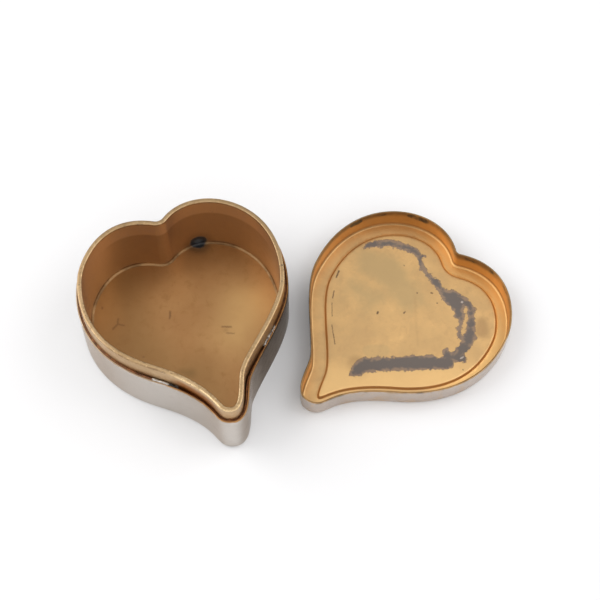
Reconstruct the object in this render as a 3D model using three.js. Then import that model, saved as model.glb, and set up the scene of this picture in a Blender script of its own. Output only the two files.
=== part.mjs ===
// Heart-shaped trinket box, open, with its lid lying inside up beside it.
// Millimetres, +Z up. The origin is under the middle of the whole set, on the table.
import * as THREE from 'three';

// The heart's plan, shared by the box, the collar and the lid.
const heartWidth = 65;
const heartLength = 73.8;
const cleftTrim = 0.018; // where the cleft's corner starts to round, as a share of the width

// Knots of the plan, counter-clockwise from the cleft, as shares of the width.
// The outline passes each one along its heading, and in and out are the reach of the curve there.
const heartKnots = [
  { name: 'leftSide', at: [-0.5, 0.128], heading: 270, in: 0.096, out: 0.104 },
  { name: 'leftNeck', at: [-0.108, -0.368], heading: 342, in: 0.386, out: 0.319 },
  { name: 'tailTip', at: [0.235, -0.568], heading: -1.5, in: 0.091, out: 0.114 },
  { name: 'rightNeck', at: [0.33, -0.347], heading: 74.5, in: 0.057, out: 0.114 },
  { name: 'rightSide', at: [0.5, 0.129], heading: 91, in: 0.152, out: 0.461 },
];
const cleft = { at: [-0.12, 0.449], arriving: 236.5, in: 0.267, leaving: 171.5, out: 0.285 };

// The box: a plated shell drawn from sheet, and a thicker gilt collar band set into it.
const sheet = 0.5;
const sheetEdge = 0.4; // radius of a cut edge, as a share of the sheet
const shellHeight = 20.2;
const shellFoot = 1.5; // radius round the underside
const collarWall = 1.45;
const collarEdge = 0.27; // radius of its rim's edges, as a share of the wall
const collarRise = 6.3; // how far the collar stands above the shell's rim
const collarFillet = 0.7; // hollow radius of the joint between its inner face and the floor
const gapAtBack = 0.75; // between shell and collar
const gapAtTail = 0.45;
const neckSlack = 0.4; // the collar bends less sharply than the shell at the two necks
const neckSpread = 11; // how far round the outline that slack dies away

// The lid: the same sheet, with a sunk field for the enamel in its top.
const lidFoot = 1.2; // radius round the lid's top edge, which lies underneath here
const bandWidth = 4.9; // from the lid's edge to the sunk field
const fieldDepth = 0.8;
const stepRun = 0.3; // the slope of the step, seen in plan
const headroom = 0.4; // left over the collar when the lid is on
const enamelGap = 0.3; // round and above the enamel
const fieldDrift = [-0.6, 0]; // the field isn't quite in the middle

// Where the lid lies.
const lidTurn = -22.8; // degrees, clockwise seen from above
const lidApart = 3.5; // from the box's right edge to the lid's left edge
const lidFurtherBack = 4.6; // from the box's back edge to the lid's back edge

// Fineness of the facets.
const facetLength = 2.25; // along the outline, where it is nearly straight
const footTurn = 30; // degrees of a foot's round in one facet
const edgeTurn = 45;
const planStep = 0.6; // between the points that the plan is worked out on
const turnWeight = 4; // millimetres of outline that one radian of bend counts for
const cornerTurn = 0.1; // the most that a sharp corner counts for, in radians

const degrees = Math.PI / 180;
const quarter = Math.PI / 2;

// The plan as a smooth closed path, on the knots.
function heartPath() {
  const ahead = (at, heading, reach) => [
    at[0] + reach * Math.cos(heading * degrees),
    at[1] + reach * Math.sin(heading * degrees),
  ];
  const start = ahead(cleft.at, cleft.leaving, cleftTrim);
  const end = ahead(cleft.at, cleft.arriving, -cleftTrim);
  const stops = [
    { at: start, heading: cleft.leaving, out: cleft.out },
    ...heartKnots,
    { at: end, heading: cleft.arriving, in: cleft.in },
  ];
  const path = new THREE.Path();
  path.moveTo(...start);
  for (let i = 1; i < stops.length; i += 1) {
    const from = stops[i - 1];
    const to = stops[i];
    path.bezierCurveTo(
      ...ahead(from.at, from.heading, from.out),
      ...ahead(to.at, to.heading, -to.in),
      ...to.at,
    );
  }
  path.quadraticCurveTo(...cleft.at, ...start);
  return path;
}

// The path as closely set points, brought to the named width and length about its middle.
const path = heartPath();
const drawn = path.getSpacedPoints(Math.round((path.getLength() * heartWidth) / planStep));
drawn.pop();
const drawnBounds = new THREE.Box2().setFromPoints(drawn);
const drawnMiddle = drawnBounds.getCenter(new THREE.Vector2());
const drawnSize = drawnBounds.getSize(new THREE.Vector2());
const toSize = new THREE.Vector2(heartWidth, heartLength).divide(drawnSize);
const plan = drawn.map((point) => point.clone().sub(drawnMiddle).multiply(toSize));
const outward = plan.map((point, i) => {
  const before = plan.at(i - 1);
  const after = plan[(i + 1) % plan.length];
  const along = after.clone().sub(before).normalize();
  return new THREE.Vector2(along.y, -along.x);
});

// 1 at the tail's two necks, dying away to 0 on both sides.
const necks = heartKnots.filter((knot) => knot.name.endsWith('Neck')).map(
  (knot) => new THREE.Vector2(...knot.at).sub(drawnMiddle).multiply(toSize),
);
function neckShare(point) {
  const off = Math.min(...necks.map((neck) => neck.distanceTo(point)));
  return Math.exp(-((off / neckSpread) ** 2));
}

// Evenly chosen points of a closed line, set closer where it bends.
const pointsRound = Math.round((path.getLength() * heartWidth) / facetLength);
function respace(line) {
  const count = line.length;
  const heading = (i) => line[(i + 1) % count].clone().sub(line[i % count]).angle();
  const measure = [0];
  for (let i = 0; i < count; i += 1) {
    const length = line[(i + 1) % count].distanceTo(line[i]);
    const turn = 2 * Math.abs(Math.sin((heading(i + 1) - heading(i)) / 2));
    measure.push(measure[i] + length + Math.min(turn, cornerTurn) * turnWeight);
  }
  const chosen = [];
  let i = 0;
  for (let n = 0; n < pointsRound; n += 1) {
    const wanted = (measure[count] * n) / pointsRound;
    while (measure[i + 1] < wanted) i += 1;
    const share = (wanted - measure[i]) / (measure[i + 1] - measure[i]);
    chosen.push(line[i].clone().lerp(line[(i + 1) % count], share));
  }
  return chosen;
}

// The heart's outline moved inwards. Where the tail is too narrow for the inset, the two
// sides meet in a point: what would cross over there is nearer the plan than the inset.
const crossing = 0.02;
function heartRing(inset, slack = 0) {
  const moved = plan.map((point, i) => {
    const depth = inset + slack * neckShare(point);
    return point.clone().addScaledVector(outward[i], -depth);
  });
  const clear = moved.filter((point) => plan.every((edge) => point.distanceTo(edge) > inset - crossing));
  return respace(clear);
}

// A quarter round of the wall's section about a centre, as [inset, height] pairs.
function round(inset, height, radius, from, to, facetTurn = footTurn) {
  const steps = Math.round(Math.abs(to - from) / (facetTurn * degrees));
  const pairs = [];
  for (let i = 0; i <= steps; i += 1) {
    const angle = from + ((to - from) * i) / steps;
    pairs.push([inset - radius * Math.cos(angle), height + radius * Math.sin(angle)]);
  }
  return pairs;
}

// The top of a wall, from its outside over to its inside, with both edges rounded.
function wallTop(outside, inside, height, edge) {
  const radius = (inside - outside) * edge;
  return [
    ...round(outside + radius, height - radius, radius, 0, quarter, edgeTurn),
    ...round(inside - radius, height - radius, radius, quarter, Math.PI, edgeTurn),
  ];
}

// A heart-shaped solid from a section: out along the underside, up the outside, over the rim
// and down the inside. A tray closes across the middle at both ends, and a band on itself.
function heartSolid(section, { band = false, slack = 0, drift = () => [0, 0] } = {}) {
  const rings = section.map(([inset, height]) => {
    const [x, y] = drift(inset);
    return heartRing(inset, slack).map((point) => new THREE.Vector3(point.x + x, point.y + y, height));
  });
  const positions = rings.flat().flatMap((point) => point.toArray());
  const faces = [];
  const last = rings.length - 1;
  for (let ring = 0; ring < (band ? rings.length : last); ring += 1) {
    for (let i = 0; i < pointsRound; i += 1) {
      const next = (i + 1) % pointsRound;
      const below = ring * pointsRound;
      const above = ((ring + 1) % rings.length) * pointsRound;
      faces.push(below + i, below + next, above + next);
      faces.push(below + i, above + next, above + i);
    }
  }
  if (!band) {
    const capFaces = (ring) => THREE.ShapeUtils.triangulateShape(
      ring.map((point) => new THREE.Vector2(point.x, point.y)),
      [],
    );
    const top = last * pointsRound;
    for (const [a, b, c] of capFaces(rings[0])) faces.push(a, c, b);
    for (const [a, b, c] of capFaces(rings[last])) faces.push(top + a, top + b, top + c);
  }
  const geometry = new THREE.BufferGeometry();
  geometry.setAttribute('position', new THREE.Float32BufferAttribute(positions, 3));
  geometry.setIndex(faces);
  geometry.computeVertexNormals();
  return geometry;
}

function mesh(name, geometry, finish) {
  const part = new THREE.Mesh(geometry, new THREE.MeshStandardMaterial(finish));
  part.name = name;
  return part;
}

const silverFinish = { color: 0xc9c4bf, roughness: 0.2, metalness: 1 };
const collarFinish = { color: 0xb58a5c, roughness: 0.35, metalness: 1 };
const lidFinish = { color: 0xd2a266, roughness: 0.3, metalness: 1 };
const enamelFinish = { color: 0x2f5d73, roughness: 0.15, metalness: 0 };

// The shell: a plain drawn tray, open above.
function boxShell() {
  return heartSolid([
    ...round(shellFoot, shellFoot, shellFoot, -quarter, 0),
    ...wallTop(0, sheet, shellHeight, sheetEdge),
    ...round(shellFoot, shellFoot, shellFoot - sheet, 0, -quarter),
  ]);
}

// The collar: a band that stands on the shell's floor. The lid goes down over its rise.
function collarBand() {
  const outside = sheet + (gapAtBack + gapAtTail) / 2;
  const inside = outside + collarWall;
  const foot = shellFoot - sheet;
  const towardsTail = [0, (gapAtTail - gapAtBack) / 2];
  const section = [
    ...round(outside + foot, sheet + foot, foot, -quarter, 0),
    ...wallTop(outside, inside, shellHeight + collarRise, collarEdge),
    ...round(inside + collarFillet, sheet + collarFillet, collarFillet, 0, -quarter),
  ];
  return heartSolid(section, { band: true, slack: neckSlack, drift: () => towardsTail });
}

// The sunk field drifts as one, and the lid's edge stays on the heart.
const fieldStart = bandWidth - sheet;
const lidDrift = (inset) => (inset >= fieldStart ? fieldDrift : [0, 0]);

// The lid, its open side up. Its sheet steps up round the field that the enamel fills below.
function lidShell() {
  const lidHeight = sheet + fieldDepth + collarRise + headroom;
  const section = [
    [bandWidth + stepRun, fieldDepth],
    [bandWidth, 0],
    ...round(lidFoot, lidFoot, lidFoot, -quarter, 0),
    ...wallTop(0, sheet, lidHeight, sheetEdge),
    ...round(lidFoot, lidFoot, lidFoot - sheet, 0, -quarter),
    [fieldStart, sheet],
    [fieldStart + stepRun, sheet + fieldDepth],
  ];
  return heartSolid(section, { drift: lidDrift });
}

// The enamel field, flush with the lid's top, which faces down here.
function lidEnamel() {
  const section = [
    [bandWidth + enamelGap, 0],
    [bandWidth + stepRun + enamelGap, fieldDepth - enamelGap],
  ];
  return heartSolid(section, { drift: () => fieldDrift });
}

const box = new THREE.Group();
box.add(mesh('box_shell', boxShell(), silverFinish));
box.add(mesh('collar_band', collarBand(), collarFinish));

// Turned upside down, the lid is the mirror image of the box.
function mirrored(geometry) {
  const flipped = geometry.clone().scale(-1, 1, 1);
  const index = flipped.getIndex();
  for (let i = 0; i < index.count; i += 3) {
    const first = index.getX(i);
    index.setX(i, index.getX(i + 1));
    index.setX(i + 1, first);
  }
  flipped.computeVertexNormals();
  return flipped;
}

const lid = new THREE.Group();
lid.add(mesh('lid_shell', mirrored(lidShell()), lidFinish));
lid.add(mesh('lid_enamel', mirrored(lidEnamel()), enamelFinish));
lid.rotation.z = lidTurn * degrees;

// The lid is set down beside the box, and the set is centred on the origin.
const boxBounds = new THREE.Box3().setFromObject(box, true);
const lidBounds = new THREE.Box3().setFromObject(lid, true);
lid.position.x = boxBounds.max.x + lidApart - lidBounds.min.x;
lid.position.y = boxBounds.max.y + lidFurtherBack - lidBounds.max.y;

const trinketBox = new THREE.Group();
trinketBox.add(box, lid);
const middle = new THREE.Box3().setFromObject(trinketBox, true).getCenter(new THREE.Vector3());
trinketBox.position.set(-middle.x, -middle.y, 0);

export default trinketBox;
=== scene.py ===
import math

import bpy
import numpy as np
from mathutils import Matrix, Vector, noise
from mathutils.geometry import delaunay_2d_cdt, interpolate_bezier


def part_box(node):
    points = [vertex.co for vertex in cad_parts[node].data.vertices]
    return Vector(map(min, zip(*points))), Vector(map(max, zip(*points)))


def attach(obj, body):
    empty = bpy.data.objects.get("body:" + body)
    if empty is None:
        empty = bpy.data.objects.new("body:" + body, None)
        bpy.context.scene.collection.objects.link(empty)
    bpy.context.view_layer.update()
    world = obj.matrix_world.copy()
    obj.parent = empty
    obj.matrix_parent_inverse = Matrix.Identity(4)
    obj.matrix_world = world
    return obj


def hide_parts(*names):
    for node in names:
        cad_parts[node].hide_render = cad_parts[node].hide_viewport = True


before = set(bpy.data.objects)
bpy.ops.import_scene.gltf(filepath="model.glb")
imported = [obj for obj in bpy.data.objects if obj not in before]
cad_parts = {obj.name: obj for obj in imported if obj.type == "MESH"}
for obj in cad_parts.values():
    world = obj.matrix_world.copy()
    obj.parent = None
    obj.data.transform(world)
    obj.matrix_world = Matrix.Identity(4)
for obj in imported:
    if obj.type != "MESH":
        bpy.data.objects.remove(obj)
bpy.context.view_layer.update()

mm = 0.001  # sizes below are in millimetres, and meshes are in metres
scene = bpy.context.scene


# Camera, at the photograph's angle
cameraView = {
    "lookAt": (1.151, 11.141, 0.0),
    "distance": 510.72,
    "elevation": 63.45,  # degrees above the table
    "lens": 96.27,
}


def placeCamera(view):
    tilt = math.radians(view["elevation"])
    back = Vector((0, -math.cos(tilt), math.sin(tilt)))
    data = bpy.data.cameras.new("camera")
    data.lens = view["lens"]
    data.clip_start = 0.01
    data.clip_end = 20
    camera = bpy.data.objects.new("camera", data)
    camera.location = (Vector(view["lookAt"]) + back * view["distance"]) * mm
    camera.rotation_euler = (math.radians(90) - tilt, 0, 0)
    scene.collection.objects.link(camera)
    scene.camera = camera


placeCamera(cameraView)
print("camera placed")


# Node trees: a field is one output of a node, and sums and products of fields make Math nodes
nodeGrid = {"columns": 12, "across": 190, "down": 260}


class Field:
    def __init__(self, tree, socket):
        self.tree, self.socket = tree, socket

    def maths(self, operation, a, b, clamp=False):
        return put(self.tree, "ShaderNodeMath", {0: a, 1: b}, operation=operation, use_clamp=clamp)

    def __add__(self, other):
        return self.maths("ADD", self, other)

    def __sub__(self, other):
        return self.maths("SUBTRACT", self, other)

    def __rsub__(self, other):
        return self.maths("SUBTRACT", other, self)

    def __mul__(self, other):
        return self.maths("MULTIPLY", self, other)

    def __truediv__(self, other):
        return self.maths("DIVIDE", self, other)

    def __rtruediv__(self, other):
        return self.maths("DIVIDE", other, self)

    def vector(self, operation, other=None, out=0):
        inputs = {0: self}
        if other is not None:
            inputs["Scale" if operation == "SCALE" else 1] = other
        return put(self.tree, "ShaderNodeVectorMath", inputs, out, operation=operation)

    def part(self, axis):
        return put(self.tree, "ShaderNodeSeparateXYZ", {0: self}, axis)


def fillIn(tree, node, inputs):
    for key, value in inputs.items():
        if isinstance(value, Field):
            tree.links.new(value.socket, node.inputs[key])
        else:
            node.inputs[key].default_value = value


def put(tree, kind, inputs=None, out=0, **settings):
    made = tree.nodes.new(kind)
    row, column = divmod(len(tree.nodes), nodeGrid["columns"])
    made.location = (nodeGrid["across"] * column, -nodeGrid["down"] * row)
    for key, value in settings.items():
        setattr(made, key, value)
    fillIn(tree, made, inputs or {})
    return Field(tree, made.outputs[out])


def largest(a, b):
    return a.maths("MAXIMUM", a, b)


def stretch(value, low, high, toLow=0.0, toHigh=1.0, kind="SMOOTHSTEP"):
    sockets = {"Value": value, "From Min": low, "From Max": high, "To Min": toLow, "To Max": toHigh}
    return put(value.tree, "ShaderNodeMapRange", sockets, interpolation_type=kind)


def zone(where, spans):
    # Each span is an axis and the places on it, in millimetres, where the mask is 0 and where it is 1
    masks = [stretch(where.part(axis), low * mm, high * mm) for axis, low, high in spans]
    return math.prod(masks[1:], start=masks[0])


def zonesOf(where, marks):
    return {name: zone(where, spans) for name, spans in marks["zones"].items()}


def grainsOf(where, look):
    # Each grain is its size in millimetres, then its detail, roughness and distortion
    return [grain(where, *sizes) for sizes in look["grains"].values()]


def grain(vector, size, detail=3.0, roughness=0.55, distortion=0.0):
    sockets = {"Vector": vector, "Scale": 1 / (size * mm), "Detail": detail, "Roughness": roughness,
               "Distortion": distortion}
    return put(vector.tree, "ShaderNodeTexNoise", sockets)


def blend(factor, a, b):
    a, b = ((*value, 1) if isinstance(value, tuple) else value for value in (a, b))
    return put(factor.tree, "ShaderNodeMix", {0: factor, 6: a, 7: b}, 2, data_type="RGBA")


def tinted(colour, mask, layer):
    # A layer is a colour and its strength
    return blend(mask * layer[1], colour, layer[0])


def attribute(where, name):
    return put(where.tree, "ShaderNodeAttribute", out="Fac", attribute_name=name)


def bump(height, depth, normal=None):
    sockets = {"Height": height, "Distance": depth * mm, "Strength": 1.0}
    if normal:
        sockets["Normal"] = normal
    return put(height.tree, "ShaderNodeBump", sockets)


def newMaterial(name):
    material = bpy.data.materials.new(name)
    material.use_nodes = True
    return material, put(material.node_tree, "ShaderNodeTexCoord", out="Object")


def dress(material, sockets):
    tree = material.node_tree
    fillIn(tree, tree.nodes["Principled BSDF"], sockets)
    return material


def shaken(where, size, reach):
    # The place, pushed about by noise, so that the edge of a mark is ragged
    sockets = {"Vector": where, "Scale": 1 / (size * mm), "Detail": 3.0}
    push = put(where.tree, "ShaderNodeTexNoise", sockets, "Color").vector("SUBTRACT", (0.5, 0.5, 0.5))
    return where.vector("ADD", push.vector("SCALE", reach * mm))


def makeStrokeMask():
    # How much of a place lies in a round-ended stroke between two points
    tree = bpy.data.node_groups.new("strokeMask", "ShaderNodeTree")
    kinds = {"Place": "Vector", "Start": "Vector", "End": "Vector", "Reach": "Float", "Soft": "Float"}
    for label, kind in kinds.items():
        tree.interface.new_socket(label, in_out="INPUT", socket_type="NodeSocket" + kind)
    tree.interface.new_socket("Mask", in_out="OUTPUT", socket_type="NodeSocketFloat")
    given = tree.nodes.new("NodeGroupInput").outputs
    place, start, end, reach, soft = (Field(tree, given[label]) for label in kinds)
    off, run = place.vector("SUBTRACT", start), end.vector("SUBTRACT", start)
    onto, whole = off.vector("DOT_PRODUCT", run, "Value"), run.vector("DOT_PRODUCT", run, "Value")
    share = off.maths("DIVIDE", onto, whole, clamp=True)
    gap = off.vector("SUBTRACT", run.vector("SCALE", share)).vector("LENGTH", out="Value")
    mask = stretch(gap, reach + soft, reach - soft)
    tree.links.new(mask.socket, tree.nodes.new("NodeGroupOutput").inputs[0])
    return tree


strokeMask = makeStrokeMask()
shortest = 0.001  # millimetres, so that a stroke that is a point still has a length


def strokesAt(place, strokes, height, soft):
    # Each stroke is a start, an end and how far it reaches to each side, all in millimetres
    total = None
    for (x1, y1), (x2, y2), reach in strokes:
        start, end = (x1 * mm, y1 * mm, height * mm), ((x2 + shortest) * mm, y2 * mm, height * mm)
        sockets = {"Place": place, "Start": start, "End": end, "Reach": reach * mm, "Soft": soft * mm}
        mask = put(place.tree, "ShaderNodeGroup", sockets, node_tree=strokeMask)
        total = largest(total, mask) if total else mask
    return total


def blobAt(place, centre, radii, low, high):
    off = place.vector("SUBTRACT", tuple(value * mm for value in centre))
    off = off.vector("DIVIDE", tuple(value * mm for value in radii))
    return stretch(off.vector("LENGTH", out="Value"), low, high)


# The heart's plan, shared by the box, the collar and the lid
heart = {
    "width": 65.0,
    "length": 73.8,
    "cleftTrim": 0.018,  # this and the knots are shares of the width
    "knots": [  # at, heading in degrees, reach of the curve before and after
        ((-0.5, 0.128), 270, 0.096, 0.104),
        ((-0.108, -0.368), 342, 0.386, 0.319),
        ((0.235, -0.568), -1.5, 0.091, 0.114),
        ((0.33, -0.347), 74.5, 0.057, 0.114),
        ((0.5, 0.129), 91, 0.152, 0.461),
    ],
    "cleft": {"at": (-0.12, 0.449), "arriving": 236.5, "in": 0.267, "leaving": 171.5, "out": 0.285},
    "curvePoints": 200,
    "cleftPoints": 40,
    "pointsRound": 480,
    "turnWeight": 5.0,  # millimetres of outline that one radian of bend counts for
}


def respace(line, count, turnWeight=0.0):
    step = np.roll(line, -1, 0) - line
    heading = np.arctan2(step[:, 1], step[:, 0])
    turn = 2 * np.abs(np.sin((np.roll(heading, -1) - heading) / 2))
    measure = np.concatenate([[0], np.cumsum(np.linalg.norm(step, axis=1) + turn * turnWeight)])
    closed = np.vstack([line, line[:1]])
    wanted = np.linspace(0, measure[-1], count, endpoint=False)
    return np.stack([np.interp(wanted, measure, closed[:, axis]) for axis in (0, 1)], 1)


def outwardOf(line):
    along = np.roll(line, -1, 0) - np.roll(line, 1, 0)
    along /= np.linalg.norm(along, axis=1)[:, None]
    return np.stack([along[:, 1], -along[:, 0]], 1)


def heartOutline(plan):
    def ahead(at, heading, reach):
        turn = math.radians(heading)
        return Vector((at[0] + reach * math.cos(turn), at[1] + reach * math.sin(turn), 0))

    notch = plan["cleft"]
    start = ahead(notch["at"], notch["leaving"], plan["cleftTrim"])
    end = ahead(notch["at"], notch["arriving"], -plan["cleftTrim"])
    first, last = (start, notch["leaving"], 0, notch["out"]), (end, notch["arriving"], notch["in"], 0)
    stops = [first, *plan["knots"], last]
    line = []
    for (at, heading, _, out), (to, toHeading, reach, _) in zip(stops, stops[1:]):
        pieces = interpolate_bezier(
            Vector((at[0], at[1], 0)), ahead(at, heading, out),
            ahead(to, toHeading, -reach), Vector((to[0], to[1], 0)), plan["curvePoints"])
        line += pieces[:-1]
    corner = Vector((*notch["at"], 0))
    toCorner, fromCorner = end.lerp(corner, 2 / 3), start.lerp(corner, 2 / 3)
    line += interpolate_bezier(end, toCorner, fromCorner, start, plan["cleftPoints"])[:-1]
    line = np.array(line)[:, :2]
    low, high = line.min(0), line.max(0)
    line = (line - (low + high) / 2) / (high - low) * (plan["width"], plan["length"])
    return respace(line, plan["pointsRound"], plan["turnWeight"])


def moved(line, inset):
    return line - outwardOf(line) * inset


def fieldOutline(line, inset, smoothing):
    # Where the tail is too narrow, the two sides meet, and smoothing rounds the point that they make
    points = moved(line, inset)
    gap = np.linalg.norm(points[:, None] - line[None], axis=2).min(1)
    points = respace(points[gap > inset - 0.03], len(line))
    for _ in range(smoothing):
        points = (np.roll(points, 1, 0) + 2 * points + np.roll(points, -1, 0)) / 4
    return points


def roundCorner(inset, height, radius, start, end, steps):
    turns = [math.radians(start + (end - start) * i / steps) for i in range(steps + 1)]
    return [(inset - radius * math.cos(turn), height + radius * math.sin(turn)) for turn in turns]


# Sheet bodies: rings swept round the plan, and flat fills with a grid of points inside them
def insideOf(points, loop):
    x, y = points[:, 0, None], points[:, 1, None]
    x1, y1 = loop[:, 0], loop[:, 1]
    x2, y2 = np.roll(x1, -1), np.roll(y1, -1)
    crosses = (y1 > y) != (y2 > y)
    rise = np.where(y2 == y1, 1e-9, y2 - y1)
    return (crosses & (x < (x2 - x1) * (y - y1) / rise + x1)).sum(1) % 2 == 1


flatGrid = {"rowShare": 0.87, "shake": 0.12, "clearance": 0.6, "batch": 2000}


def fillFlat(loops, step, seed):
    # The first loop is the edge and a second one is a hole; returns grid points and triangles
    edge = loops[0]
    low, high = edge.min(0), edge.max(0)
    columns = np.arange(low[0], high[0], step)
    rows = np.arange(low[1], high[1], step * flatGrid["rowShare"])
    grid = np.array([(x + (step / 2 if j % 2 else 0), y) for j, y in enumerate(rows) for x in columns])
    shake, batch = flatGrid["shake"], flatGrid["batch"]
    grid += np.random.default_rng(seed).uniform(-shake, shake, grid.shape) * step
    border = np.vstack(loops)
    keep = insideOf(grid, edge)
    for hole in loops[1:]:
        keep &= ~insideOf(grid, hole)
    for first in range(0, len(grid), batch):
        part = slice(first, first + batch)
        near = np.linalg.norm(grid[part, None] - border[None], axis=2).min(1)
        keep[part] &= near > step * flatGrid["clearance"]
    grid = grid[keep]
    points = np.vstack([border, grid])
    edges, first = [], 0
    for loop in loops:
        count = len(loop)
        edges += [(first + i, first + (i + 1) % count) for i in range(count)]
        first += count
    found = delaunay_2d_cdt([Vector(point) for point in points], edges, [], 0, 1e-6, True)
    origin = [ids[0] for ids in found[3]]
    triangles = np.array([[origin[corner] for corner in face] for face in found[2]])
    middles = points[triangles].mean(1)
    keep = insideOf(middles, edge)
    for hole in loops[1:]:
        keep &= ~insideOf(middles, hole)
    return grid, triangles[keep]


class SheetShape:
    def __init__(self):
        self.points = np.zeros((0, 3))
        self.marks = {}
        self.faces = []
        self.uvs = []

    def add(self, points, **marks):
        first = len(self.points)
        self.points = np.vstack([self.points, points])
        for name, value in marks.items():
            self.marks.setdefault(name, np.zeros(first))
        for name, values in self.marks.items():
            fresh = np.broadcast_to(marks.get(name, 0.0), len(points))
            self.marks[name] = np.concatenate([values, fresh])
        return np.arange(first, first + len(points))

    def bridge(self, below, above, lowAlong, highAlong):
        onward = np.roll(np.arange(len(below)), -1)
        lengths = np.linalg.norm(self.points[np.roll(below, -1), :2] - self.points[below, :2], axis=1)
        along = np.concatenate([[0], np.cumsum(lengths)])
        quads = np.stack([below, below[onward], above[onward], above], 1)
        self.faces += quads.tolist()
        ends = np.stack([along[:-1], along[1:], along[1:], along[:-1]], 1)
        across = np.broadcast_to([lowAlong, lowAlong, highAlong, highAlong], ends.shape)
        self.uvs.append(np.stack([ends, across], 2).reshape(-1, 2))

    def fill(self, rings, height, step, seed, facing=1, ripple=None, **marks):
        loops = [self.points[ring][:, :2] for ring in rings]
        grid, triangles = fillFlat(loops, step, seed)
        heights = np.full(len(grid), height)
        if ripple:
            border = np.vstack(loops)
            for i, point in enumerate(grid):
                gap = np.linalg.norm(border - point, axis=1).min()
                place = Vector((point[0], point[1], seed * 7.3)) / ripple["size"]
                heights[i] += noise.noise(place) * ripple["height"] * min(1, gap / ripple["edge"])
        fresh = self.add(np.column_stack([grid, heights]), **marks)
        ids = np.concatenate([*rings, fresh])
        triangles = ids[triangles]
        flat = self.points[triangles]
        up = np.cross(flat[:, 1, :2] - flat[:, 0, :2], flat[:, 2, :2] - flat[:, 0, :2])
        turned = (up * facing) < 0
        triangles[turned] = triangles[turned][:, ::-1]
        self.faces += triangles.tolist()
        self.uvs.append(self.points[triangles][:, :, :2].reshape(-1, 2))
        return fresh

    def build(self, name, material):
        mesh = bpy.data.meshes.new(name)
        mesh.from_pydata((self.points * mm).tolist(), [], self.faces)
        mesh.uv_layers.new(name="sheet").data.foreach_set("uv", (np.vstack(self.uvs) * mm).ravel())
        for mark, values in self.marks.items():
            mesh.attributes.new(mark, "FLOAT", "POINT").data.foreach_set("value", values)
        mesh.shade_smooth()
        mesh.materials.append(material)
        mesh.validate()
        piece = bpy.data.objects.new(name, mesh)
        scene.collection.objects.link(piece)
        return piece


farOut = -12.0  # depth given to points that no stroke is near


def strokeDepth(points, strokes):
    # How deep each point lies in the nearest of the strokes, in millimetres, below 0 outside them
    deepest = np.full(len(points), farOut)
    for stroke in strokes:
        path = np.array(stroke)
        if len(path) == 1:
            path = np.vstack([path, path + (1e-3, 0, 0)])
        for (x1, y1, w1), (x2, y2, w2) in zip(path, path[1:]):
            start, run = np.array((x1, y1)), np.array((x2 - x1, y2 - y1))
            share = np.clip(((points - start) @ run) / (run @ run), 0, 1)
            gap = np.linalg.norm(points - start - share[:, None] * run, axis=1)
            deepest = np.maximum(deepest, w1 + (w2 - w1) * share - gap)
    return deepest


# Where the two hearts lie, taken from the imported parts
def middleOf(node):
    low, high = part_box(node)
    return np.array((low + high) / 2)[:2] / mm


outlineSlack = 0.05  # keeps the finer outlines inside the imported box
boxOutline = moved(heartOutline(heart) + middleOf("box_shell"), outlineSlack)
lidTurn = math.radians(-22.8)
lidOutline = heartOutline(heart)[::-1] * (-1, 1)
lidOutline = lidOutline @ np.array(Matrix.Rotation(lidTurn, 2)).T
lidOutline += middleOf("lid_shell") - (lidOutline.min(0) + lidOutline.max(0)) / 2
lidOutline = moved(lidOutline, outlineSlack)
print("outlines drawn")


# Box shell: a tray of thin sheet, plated outside and lacquered inside
shell = {
    "sheet": 0.5,
    "height": 20.2,
    "foot": 1.5,
    "edge": 0.2,
    "wallRings": 14,
    "floorGrid": 0.6,
    "undersideGrid": 2.5,
    "ripple": {"size": 16.0, "height": 0.05, "edge": 6.0},
}
trayDetail = {  # shared by the box and the lid
    "footSteps": 8,
    "hollowSteps": 6,
    "edgeSteps": 5,
    "flat": 0.3,
    "rimReach": 1.2,
}


def evenly(start, end, count):
    return [start + (end - start) * i / count for i in range(1, count)]


def traySection(size):
    # From under the foot up the outside, over the rim and down to the floor, with marks for each pair
    foot, sheet, height, edge = (size[name] for name in ("foot", "sheet", "height", "edge"))
    flat, rings, steps = foot + trayDetail["flat"], size["wallRings"], trayDetail["edgeSteps"]
    outside = [(flat, 0)] + roundCorner(foot, foot, foot, -90, 0, trayDetail["footSteps"])
    outside += [(0, z) for z in evenly(foot, height - edge, rings)]
    top = roundCorner(edge, height - edge, edge, 0, 90, steps)
    top += roundCorner(sheet - edge, height - edge, edge, 90, 180, steps)
    inside = [(sheet, z) for z in evenly(height - edge, foot, rings)]
    inside += roundCorner(foot, foot, foot - sheet, 0, -90, trayDetail["hollowSteps"]) + [(flat, sheet)]
    section = outside + top + inside
    inner = [0.0] * len(outside) + [i / (len(top) - 1) for i in range(len(top))] + [1.0] * len(inside)
    rim = [max(0.0, 1 - (height - z) / trayDetail["rimReach"]) for _, z in section]
    return section, {"inner": inner, "rim": rim}


def sweep(shape, ringAt, section, **marks):
    # ringAt gives the ring at an inset, and marks hold one value for each pair of the section
    rings, run = [], 0.0
    for i, (inset, height) in enumerate(section):
        ring = ringAt(inset)
        points = np.column_stack([ring, np.full(len(ring), height)])
        rings.append(shape.add(points, **{name: values[i] for name, values in marks.items()}))
        if i:
            last = run
            run += math.dist(section[i - 1], section[i])
            shape.bridge(rings[i - 1], rings[i], last, run)
    return rings


def makeBoxShell(size, line):
    shape = SheetShape()
    section, marks = traySection(size)
    rings = sweep(shape, lambda inset: moved(line, inset), section, **marks)
    shape.fill([rings[0]], 0.0, size["undersideGrid"], 1, facing=-1)
    shape.fill([rings[-1]], size["sheet"], size["floorGrid"], 2, ripple=size["ripple"], inner=1.0)
    return shape


def takesPlaceOf(piece, node):
    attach(piece, "root")
    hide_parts(node)
    print(piece.name, "done,", len(piece.data.polygons), "faces")


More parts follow.
